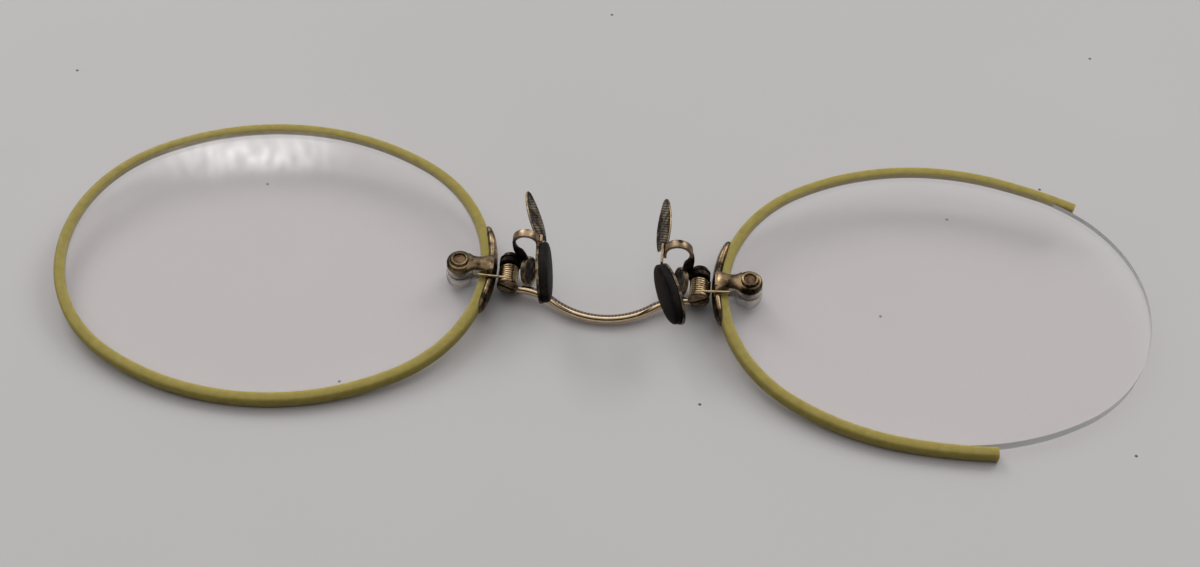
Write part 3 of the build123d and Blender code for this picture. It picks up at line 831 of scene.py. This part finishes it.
@dataclass
class LoopedLever(Fitting):
    """Hub, short arm, and the ribbon that twists up from the hub and loops over to the nose guard."""

    loop_x: float = 7.95
    guard_x: float = 5.4
    hub_radius: float = 1.0
    hub_y: Pair = (0.8, 1.665)
    ribbon_y: Pair = (1.06, 1.94)
    half_ribbon: float = 0.14
    top_z: float = 4.65
    foot_z: float = 2.75
    painted_shade_below: float = 3.2
    root: Pair = (7.72, 0.35)
    root_twist: float = radians(78)
    straight_until: float = 0.45
    broad: float = 0.52
    tab_x: float = 7.2
    tab_z: float = -0.645
    tab_tilt: float = radians(15)
    half_arm: float = 0.14
    arm_set_back: float = 0.4

    def ribbon(self) -> Object:
        """The ribbon: its broad face turns to the bridge on the way up, and sideways round the loop."""
        near, far = self.ribbon_y
        middle_y, half_width = (near + far) / 2, (far - near) / 2
        inner_x = self.guard_x + self.half_ribbon
        radius = (self.loop_x - inner_x) / 2
        shoulder = self.top_z - self.half_ribbon - radius
        root_x, root_z = self.root
        up_steps, loop_steps = 16, 18
        line = []
        for step in range(up_steps):
            rise = step / up_steps
            point = Vector((root_x + (self.loop_x - root_x) * smooth_step(rise), middle_y,
                            root_z + (shoulder - root_z) * rise))
            turned = max(0.0, rise - self.straight_until) / (1 - self.straight_until)
            line.append((point, self.root_twist * (1 - smooth_step(turned)), rise))
        for step in range(loop_steps + 1):
            turn = pi * step / loop_steps
            line.append((Vector((inner_x + radius * (1 + cos(turn)), middle_y,
                                 shoulder + radius * sin(turn))), 0.0, 1.0))
        line.append((Vector((inner_x, middle_y, self.foot_z)), 0.0, 1.0))
        stations = []
        for (point, twist, rise), along in zip(line, ways([entry[0] for entry in line])):
            across = Vector((sin(twist), cos(twist), 0))
            width = self.broad + (half_width - self.broad) * smooth_step(rise)
            stations.append(Station(point, along, across, width, self.half_ribbon))
        return Bench.plate("ribbon", stations, 0.07)

    def hub(self) -> Object:
        """The bored hub on the pivot screw, with a groove round its far end."""
        near, far = self.hub_y
        depth, radius = far - near, self.hub_radius
        profile = [(0, 0.5), (0, 0.86), (0.03, 0.95), (0.1, radius), (depth * 0.55, radius),
                   (depth * 0.6, 0.9), (depth * 0.7, 0.9), (depth * 0.75, radius), (depth - 0.08, radius),
                   (depth, 0.9), (depth, 0.5)]
        return Bench.turned("hub", on_pivot(near), Y_WAY, profile)

    def short_arm(self) -> Object:
        """The arm behind the finger piece."""
        lean = Vector((sin(self.tab_tilt), 0, cos(self.tab_tilt)))
        out = Vector((cos(self.tab_tilt), 0, -sin(self.tab_tilt)))
        middle = Vector((self.tab_x, sum(self.hub_y) / 2, self.tab_z)) + out * self.arm_set_back
        half_width = (self.hub_y[1] - self.hub_y[0]) / 2
        stations = [Station(middle + lean * rise, lean, Y_WAY, half_width, self.half_arm)
                    for rise in (-0.5, 0.5, 1.45)]
        return Bench.plate("short_arm", stations, 0.06)

    def build(self) -> None:
        """Models and joins the lever's parts."""
        ribbon = self.ribbon()
        # The ribbon's rise by the hub, low down, is painted near-black: painted shade under the loop.
        paint(ribbon, [self.shop.metal(LOOP_GOLD), self.shop.metal(PAINTED_SHADE_METAL)],
              lambda face: int(face.center.x > self.guard_x + 1 and face.center.z < self.painted_shade_below))
        # Hub and short arm are painted near-black: painted shade under the loop and behind the finger piece.
        dark = [self.hub(), self.short_arm()]
        for body in dark:
            dress(body, self.shop.metal(PAINTED_SHADE_METAL))
        lever = Bench.join(self.half.node("looped_lever"), [ribbon, *dark])
        self.deliver(lever, "lever", self.half.lever, angle=35)


@dataclass
class RimShoe(Fitting):
    """The tapered band that hugs the rim's nose end."""

    centre: Triple = (25.6, 0.25, 0.0)
    radius: float = 15.02
    half_thickness: float = 0.48
    half_height: float = 0.84
    far_angle: float = 20.8
    near_angle: float = 16.4
    taper: float = 0.26
    tip: float = 0.42

    def build(self) -> None:
        """Draws the band round the rim's end, with both ends tapered to blunt points."""
        steps = 40
        band = Arc(Vector(self.centre), self.radius, 180 - self.far_angle, 180 + self.near_angle)
        stations = []
        for step, point in enumerate(band.points(steps)):
            share = step / steps
            end = min(share, 1 - share) / self.taper
            size = self.tip + (1 - self.tip) * sqrt(1 - (1 - min(end, 1.0)) ** 2)
            out = point - band.centre
            stations.append(Station(point, Z_WAY.cross(out), out, self.half_thickness * size,
                                    self.half_height * size))
        shoe = Bench.draw(self.half.node("rim_shoe"), Section.ROUND, stations)
        dress(shoe, self.shop.metal(SHOE_GOLD))
        self.deliver(shoe, "edge_shoe")


@dataclass
class LensStrap(Fitting):
    """The cast strap astride the glass: boss and waisted neck above, riser, and the lower ear."""

    screw: Pair = (13.58, 0.25)
    face_x: float = 10.305
    boss_radius: float = 1.22
    ear_base: float = 0.67
    ear_top: float = 1.46
    collar_top: float = 1.7
    waist: float = 0.78
    waist_end: float = 0.35
    flare: float = 1.4
    half_neck: float = 0.42
    lower_top: float = -0.67
    lower_bottom: float = -1.3

    def boss(self) -> Object:
        """The boss with its raised collar and the sunk seat of the screw's end."""
        radius, base, top, collar = self.boss_radius, self.ear_base, self.ear_top, self.collar_top
        profile = [(base, 0.57), (base, radius - 0.1), (base + 0.08, radius), (top - 0.32, radius),
                   (top - 0.14, radius - 0.06), (top - 0.03, radius - 0.22), (top - 0.02, 0.9),
                   (top - 0.06, 0.86), (top + 0.08, 0.84), (collar - 0.05, 0.8), (collar, 0.72),
                   (collar - 0.03, 0.6), (collar - 0.12, 0.55), (base, 0.55)]
        return Bench.turned("boss", Vector((*self.screw, 0)), Z_WAY, profile)

    def neck(self) -> Object:
        """The neck, waisted in the middle and flared to the shoe, with a rounded back."""
        steps = 22
        start_x = self.screw[0] - 0.75
        middle_z = (self.ear_base + self.ear_top) / 2
        stations = []
        for step in range(steps + 1):
            share = step / steps
            x = start_x + (self.face_x + 0.12 - start_x) * share
            root = exp(-((share / 0.16) ** 2)) * 0.36
            flared = (share - self.waist_end) / (1 - self.waist_end)
            width = self.waist + root + (self.flare - self.waist) * max(0.0, flared) ** 2.2
            drop = 0.22 * max(0.0, (share - 0.7) / 0.3) ** 2
            point = Vector((x, self.screw[1], middle_z - drop))
            stations.append(Station(point, -X_WAY, Y_WAY, width, self.half_neck))
        return Bench.draw("neck", Section.ROUND, stations)

    def riser(self) -> Object:
        """The upright in the shoe's pocket."""
        half_depth = 0.22
        middle = self.face_x + half_depth
        stations = [Station(Vector((middle, self.screw[1], z)), Z_WAY, Y_WAY, width, half_depth)
                    for z, width in ((self.lower_bottom, 0.8), (0, 0.88), (self.ear_top - 0.35, 0.88),
                                     (self.ear_top - 0.12, 0.7))]
        return Bench.plate("riser", stations, 0.12, 4)

    def lower_ear(self) -> Object:
        """The oval ear under the glass, bored for the screw, with its own short neck."""
        depth = self.lower_top - self.lower_bottom
        profile = [(0, 0.57), (0, 1.55), (0.08, 1.68), (0.2, 1.75), (depth - 0.1, 1.75), (depth, 1.65),
                   (depth, 0.57)]
        start = Vector((*self.screw, self.lower_bottom))
        ear = Bench.turned("lower_ear", start, Z_WAY, profile, (Y_WAY, 0.75))
        middle_z = (self.lower_top + self.lower_bottom) / 2
        neck = Bench.draw("lower_neck", Section.ROUND, [
            Station(Vector((x, self.screw[1], middle_z)), -X_WAY, Y_WAY, width, depth / 2 - 0.02)
            for x, width in ((self.screw[0] - 0.9, 0.8), (self.screw[0] - 1.6, 0.55),
                             (self.face_x + 0.8, 0.6), (self.face_x + 0.15, 0.85))])
        return Bench.join("lower_ear", [ear, neck])

    def build(self) -> None:
        """Models and joins the strap's parts."""
        gold = [self.boss(), self.neck(), self.riser()]
        for body in gold:
            dress(body, self.shop.metal(SHOE_GOLD))
        lower = self.lower_ear()
        # The lower ear is painted pale grey: painted sheen for its look through the glass.
        dress(lower, self.shop.metal(PALE_EAR_SHEEN))
        strap = Bench.join(self.half.node("cast_strap"), [*gold, lower])
        self.deliver(strap, "lens_strap", angle=50)


@dataclass
class NoseGuard(Fitting):
    """The knurled leaf, its stem, and the oval backing of the pad, all of thin sheet."""

    guard_x: float = 5.4
    bend_y: float = -0.1
    leaf_turn: float = -3.5
    pad_turn: float = -20.0
    stem_far_y: float = 1.915
    guard_z: float = 3.2
    sheet: float = 0.25
    leaf_length: float = 5.4
    leaf_half_height: float = 1.3
    half_leaf: float = 0.1
    leaf_rise: float = 7.0
    leaf_lean: float = 27.0
    pad_lean: float = 12.0
    pad_half_length: float = 3.4
    backing_half_height: float = 1.62
    pad_thickness: float = 0.82
    pad_gap: float = 0.02
    stem_half_height: float = 0.5

    def plane(self, turn: float, lean: float, y: float) -> Matrix:
        """The plane of a sheet part.

        Args:
            turn: Its turn about Z away from Y, in degrees.
            lean: The lean of its upper edge away from the nose, in degrees.
            y: Where it starts.

        Returns:
            The matrix with X along the guard, Y up it and Z to the nose.
        """
        angle, tip = radians(turn), radians(lean)
        along = Vector((sin(angle), cos(angle), 0))
        to_nose = Vector((-cos(angle), sin(angle), 0)) * cos(tip) + Z_WAY * sin(tip)
        axes = Matrix((along, to_nose.cross(along), to_nose)).transposed()
        return Matrix.Translation((self.guard_x, y, self.guard_z)) @ axes.to_4x4()

    def leaf(self) -> Object:
        """The flat leaf, widest a little before its middle: knurled to the nose, with a bright edge, its back
        painted near-black as shade.
        """
        plane = self.plane(self.leaf_turn, self.leaf_lean, self.stem_far_y)
        rise = radians(self.leaf_rise)
        way = Vector((cos(rise), -sin(rise), 0))
        steps = 26
        stations = []
        for step in range(steps + 1):
            share = step / steps
            belly = sin(pi * (0.19 + 0.76 * share) ** 0.95)
            width = self.leaf_half_height * belly ** 0.75 * (1 if step < steps else 0.55)
            point = way * self.leaf_length * share + Z_WAY * self.sheet / 2
            stations.append(Station(point, way, Y_WAY, width, self.half_leaf))
        leaf = Bench.plate("leaf", stations, 0.05, 2)
        leaf.data.transform(plane)
        normal = plane.to_3x3() @ Z_WAY

        def side(face: MeshPolygon) -> int:
            """0 for the nose side, 1 for the edge and 2 for the back, which is painted near-black as shade."""
            facing = face.normal.dot(normal)
            return 0 if facing > 0.8 else 2 if facing < -0.8 else 1

        # The back takes the near-black finish: painted shade.
        paint(leaf, [self.shop.metal(finish) for finish in (GUARD_KNURLED, EDGE_GOLD, PAINTED_SHADE_METAL)], side)
        return leaf

    def stem(self) -> Object:
        """The stem between leaf and backing."""
        x = self.guard_x - self.sheet / 2
        places = self.bend_y - 0.05, (self.bend_y + self.stem_far_y) / 2, self.stem_far_y + 0.25
        stem = Bench.plate("stem", [
            Station(Vector((x, y, self.guard_z)), Y_WAY, Z_WAY, self.stem_half_height, self.sheet / 2)
            for y in places], 0.06)
        dress(stem, self.shop.metal(LOOP_GOLD))
        return stem

    def oval(self, name: str, start: float, profile: Sequence[Pair]) -> Object:
        """An oval body on the pad's plane, from a height above it, by heights and half lengths."""
        plane = self.plane(self.pad_turn, self.pad_lean, self.bend_y)
        axes = plane.to_3x3()
        middle = plane @ Vector((-self.pad_half_length, 0, start))
        share = self.backing_half_height / self.pad_half_length
        return Bench.turned(name, middle, axes @ Z_WAY, profile, (axes @ X_WAY, share))

    def build(self) -> None:
        """Models the sheet metal, and the pad on it."""
        length, sheet, rise = self.pad_half_length, self.sheet, self.pad_thickness
        backing = self.oval("backing", 0, [(0, length * 0.9), (0, length), (sheet, length),
                                           (sheet, 0.9 * length)])
        dress(backing, self.shop.metal(LEVER_BRONZE))
        guard = Bench.join(self.half.node("leaf_guard"), [self.leaf(), self.stem(), backing])
        self.deliver(guard, "guard_plate", self.half.lever, angle=40)
        swell = [(0, 0.7), (0, 0.955), (0.06 / rise, 0.975), (0.5, 0.975), (0.68, 0.965), (0.8, 0.93),
                 (0.9, 0.84), (0.96, 0.66), (1, 0.36), (1, 0.1)]
        pad = self.oval(self.half.node("oval_pad"), sheet + self.pad_gap,
                        [(height * rise, reach * length) for height, reach in swell])
        dress(pad, self.shop.resin(PAD_BLACK))
        self.deliver(pad, "nose_pad", self.half.lever, "pad_black")


@dataclass
class FingerTab(Fitting):
    """The oval finger piece with its dished face painted near-black as shade, and its bright raised edge."""

    middle: Triple = (7.2, 1.15, -0.645)
    tilt: float = radians(15)
    turn: float = radians(18)
    half_length: float = 1.3
    half_height: float = 1.53
    half_thickness: float = 0.225

    def build(self) -> None:
        """Turns the plate, and gives its dish the near-black finish of painted shade."""
        out = Vector((-cos(self.tilt), -sin(self.turn), sin(self.tilt))).normalized()
        upright = Vector((sin(self.tilt), 0, cos(self.tilt)))
        back, front, tall = -self.half_thickness, self.half_thickness, self.half_height
        profile = [(back, 0.5 * tall), (back, 0.94 * tall), (back + 0.05, tall), (front - 0.06, tall),
                   (front, 0.96 * tall), (front, 0.9 * tall), (front - 0.09, 0.84 * tall),
                   (front - 0.12, 0.6 * tall), (front - 0.12, 0.2 * tall)]
        tab = Bench.turned(self.half.node("finger_tab"), Vector(self.middle), out, profile,
                           (upright, self.half_length / self.half_height))

        def in_dish(face: MeshPolygon) -> int:
            """1 for a face of the dish, 0 elsewhere."""
            reach = face.center - Vector(self.middle)
            return int(reach.dot(out) > 0 and abs(face.normal.dot(out)) > 0.5 and reach.length < 0.84 * tall)

        # The dish is painted near-black: painted shade.
        paint(tab, [self.shop.metal(EDGE_GOLD), self.shop.metal(PAINTED_SHADE_METAL)], in_dish)
        self.deliver(tab, "finger_piece", self.half.lever, angle=50)


@dataclass
class CrossScrew(Fitting):
    """The pivot screw with a slotted, slightly domed head."""

    start_y: float = -1.7
    head_radius: float = 1.02
    shaft_radius: float = 0.42
    end_y: float = 2.17
    slot_angle: float = -28.0
    half_slot: float = 0.12

    def build(self) -> None:
        """Turns the screw and cuts its slot."""
        head, shaft, length = self.head_radius, self.shaft_radius, self.end_y - self.start_y
        start = on_pivot(self.start_y)
        profile = [(0, 0.3), (0.015, 0.6), (0.05, head - 0.14), (0.1, head - 0.04), (0.16, head),
                   (0.38, head), (0.4, head - 0.04), (0.4, shaft), (length - 0.08, shaft),
                   (length, shaft - 0.08)]
        screw = Bench.turned(self.half.node("cross_screw"), start, Y_WAY, profile)
        angle = radians(self.slot_angle)
        way = Vector((cos(angle), 0, -sin(angle)))
        cutter = Bench.draw("slot", Section.SQUARE, [
            Station(start + Y_WAY * y, Y_WAY, way, 1.5 * head, self.half_slot) for y in (-0.3, 0.2)])
        Bench.cut(screw, cutter)
        Bench.soften(screw, 0.02, 2)
        dress(screw, self.shop.metal(SCREW_COPPER))
        self.deliver(screw, "pivot_screw", slot="screw_brass", angle=40)


# ---------- table, lights, camera ----------
@dataclass
class Studio:
    """The pale table, soft lights and the photograph's viewpoint."""

    frame: LensFrame
    shop: FinishShop
    azimuth: float = 2.70
    elevation: float = 52.43
    roll: float = 1.912
    distance: float = 187.33
    target: Pair = (-0.353, -0.267)
    focal_length: float = 60.0
    table_size: float = 8.0
    lamps: tuple[tuple[str, Triple, float, float], ...] = (
        ("left_window", (-0.55, 0.75, 0.7), 0.5, 2.9), ("right_window", (0.65, 0.75, 0.75), 0.55, 3.2))
    panes_place: Triple = (-0.213, 0.51, 0.7)
    panes_size: Pair = (0.11, 0.032)
    panes_turn: float = radians(9)
    panes_glow: float = 7.0
    panes_spread: Triple = (24.0, 3.0, 1.0)
    sky_way: Triple = (-0.05, 0.45, 0.89)
    sky_slope: float = 0.75
    sky_floor: float = 0.2
    sky_contrast: float = 2.2
    sky_strength: float = 1.5
    sky_colour: Colour = (0.98, 0.97, 1.0)

    def place_camera(self) -> None:
        """Adds the camera at the photograph's viewing angle."""
        side, lift, turn = (radians(a) for a in (self.azimuth, self.elevation, self.roll))
        back = Vector((sin(side) * cos(lift), -cos(side) * cos(lift), sin(lift)))
        level = Z_WAY.cross(back).normalized()
        upright = back.cross(level)
        right = cos(turn) * level + sin(turn) * upright
        up = -sin(turn) * level + cos(turn) * upright
        axes = Matrix((right, up, back)).transposed()
        centre = Vector((*self.target, 0)) + back * self.distance
        pitch = Matrix.Rotation(self.frame.pitch, 3, "X")
        bpy.ops.object.camera_add()
        camera = bpy.context.object
        camera.name = "photo_camera"
        camera.data.lens = self.focal_length
        camera.data.clip_start = 0.01
        camera.matrix_world = (Matrix.Translation(self.frame.origin + pitch @ centre * MILLIMETRE)
                               @ (pitch @ axes).to_4x4())
        bpy.context.scene.camera = camera

    def lay_table(self) -> None:
        """Adds the table top."""
        Bench.clear()
        bpy.ops.mesh.primitive_plane_add(size=self.table_size)
        table = bpy.context.object
        table.name = "table_top"
        dress(table, self.shop.table(TABLE_TOP))

    def light(self) -> None:
        """Sets a room that is brighter overhead and behind, and two soft windows behind the table."""
        world = bpy.data.worlds.new("room")
        bpy.context.scene.world = world
        world.use_nodes = True
        board = Board(world.node_tree)
        way = board.add("TexCoord").outputs["Generated"]
        lift = board.add("VectorMath", {0: way, 1: self.sky_way}, operation="DOT_PRODUCT")
        level = board.math("MULTIPLY_ADD", lift.outputs["Value"], self.sky_slope, self.sky_floor, clamp=True)
        strength = board.math("MULTIPLY", board.math("POWER", level, self.sky_contrast), self.sky_strength)
        sky = board.add("Background", {"Color": opaque(self.sky_colour), "Strength": strength})
        board.add("OutputWorld", {"Surface": sky.outputs[0]})
        for name, place, size, power in self.lamps:
            bpy.ops.object.light_add(type="AREA", location=place)
            lamp = bpy.context.object
            lamp.name = name
            lamp.data.size = size
            lamp.data.energy = power
            lamp.rotation_euler = Vector(place).to_track_quat("Z", "Y").to_euler()

    def hang_panes(self) -> None:
        """Hangs the bright row of panes that the left lens mirrors, out of the camera's sight."""
        Bench.clear()
        bpy.ops.mesh.primitive_plane_add(size=1, location=self.panes_place, rotation=(0, 0, self.panes_turn))
        panes = bpy.context.object
        panes.name = "window_panes"
        panes.scale = (*self.panes_size, 1)
        material, board = self.shop.start("window_panes")
        place = board.add("TexCoord").outputs["Object"]
        spread = board.add("VectorMath", {0: place, 1: self.panes_spread}, operation="MULTIPLY").outputs[0]
        patches = board.add("TexNoise", {"Vector": spread, "Scale": 1.0, "Detail": 1.0})
        patch = board.math("MULTIPLY_ADD", patches.outputs[0], 3.0, -1.0, clamp=True)
        along, across = (board.math("ABSOLUTE", board.add("SeparateXYZ", {0: place}).outputs[axis])
                         for axis in "XY")
        fade = board.math("MULTIPLY", board.math("MULTIPLY_ADD", across, -2.6, 1.3, clamp=True),
                          board.math("MULTIPLY_ADD", along, -3.0, 1.5, clamp=True))
        glow = board.add("Emission", {"Strength": self.panes_glow})
        open_air = board.add("BsdfTransparent")
        blend = board.add("MixShader", {0: board.math("MULTIPLY", fade, patch), 1: open_air.outputs[0],
                                        2: glow.outputs[0]})
        board.add("OutputMaterial", {"Surface": blend.outputs[0]})
        dress(panes, material)

    def set_up(self) -> None:
        """Adds table, lights and camera."""
        self.lay_table()
        self.light()
        self.hang_panes()
        self.place_camera()
        bpy.context.scene.view_settings.view_transform = "Standard"


def dress_solids(nodes: dict[str, Object], shop: FinishShop) -> None:
    """Gives the CAD nodes that stay in sight their materials."""
    for half in Half:
        dress(nodes[half.node("lens")], shop.glass(LENS_GLASS))
        dress(nodes[half.node("lens_screw")], shop.metal(SCREW_BROWN))
        dress(nodes[half.node("lens_washers")], shop.metal(WASHER_STEEL))


FITTINGS = (GroovedRim, GuardSpring, LensStrap, RimShoe, PivotCradle, CrossScrew, FingerTab, LoopedLever,
            NoseGuard)
# How the left half is bent otherwise than the right one.
LEFT_BENDS = {
    RimShoe: {"far_angle": 20.0, "near_angle": 18.3},
    LoopedLever: {"loop_x": 8.55, "guard_x": 6.2},
    NoseGuard: {"guard_x": 6.2, "bend_y": 1.4, "leaf_turn": 14.0, "pad_turn": 5.0, "leaf_lean": 33.0},
}


def main() -> None:
    """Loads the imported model, dresses it, and sets it on its table."""
    logging.basicConfig(level=logging.INFO, format="%(message)s")
    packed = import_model()
    frame = LensFrame.from_joints(packed["joints"])
    shop = FinishShop()
    dress_solids(packed["nodes"], shop)
    NoseBridge(Half.RIGHT, frame, shop).build()
    for half in Half:
        bends = LEFT_BENDS if half is Half.LEFT else {}
        for fitting in FITTINGS:
            fitting(half, frame, shop, **bends.get(fitting, {})).build()
    Studio(frame, shop).set_up()


if __name__ == "__main__":
    main()
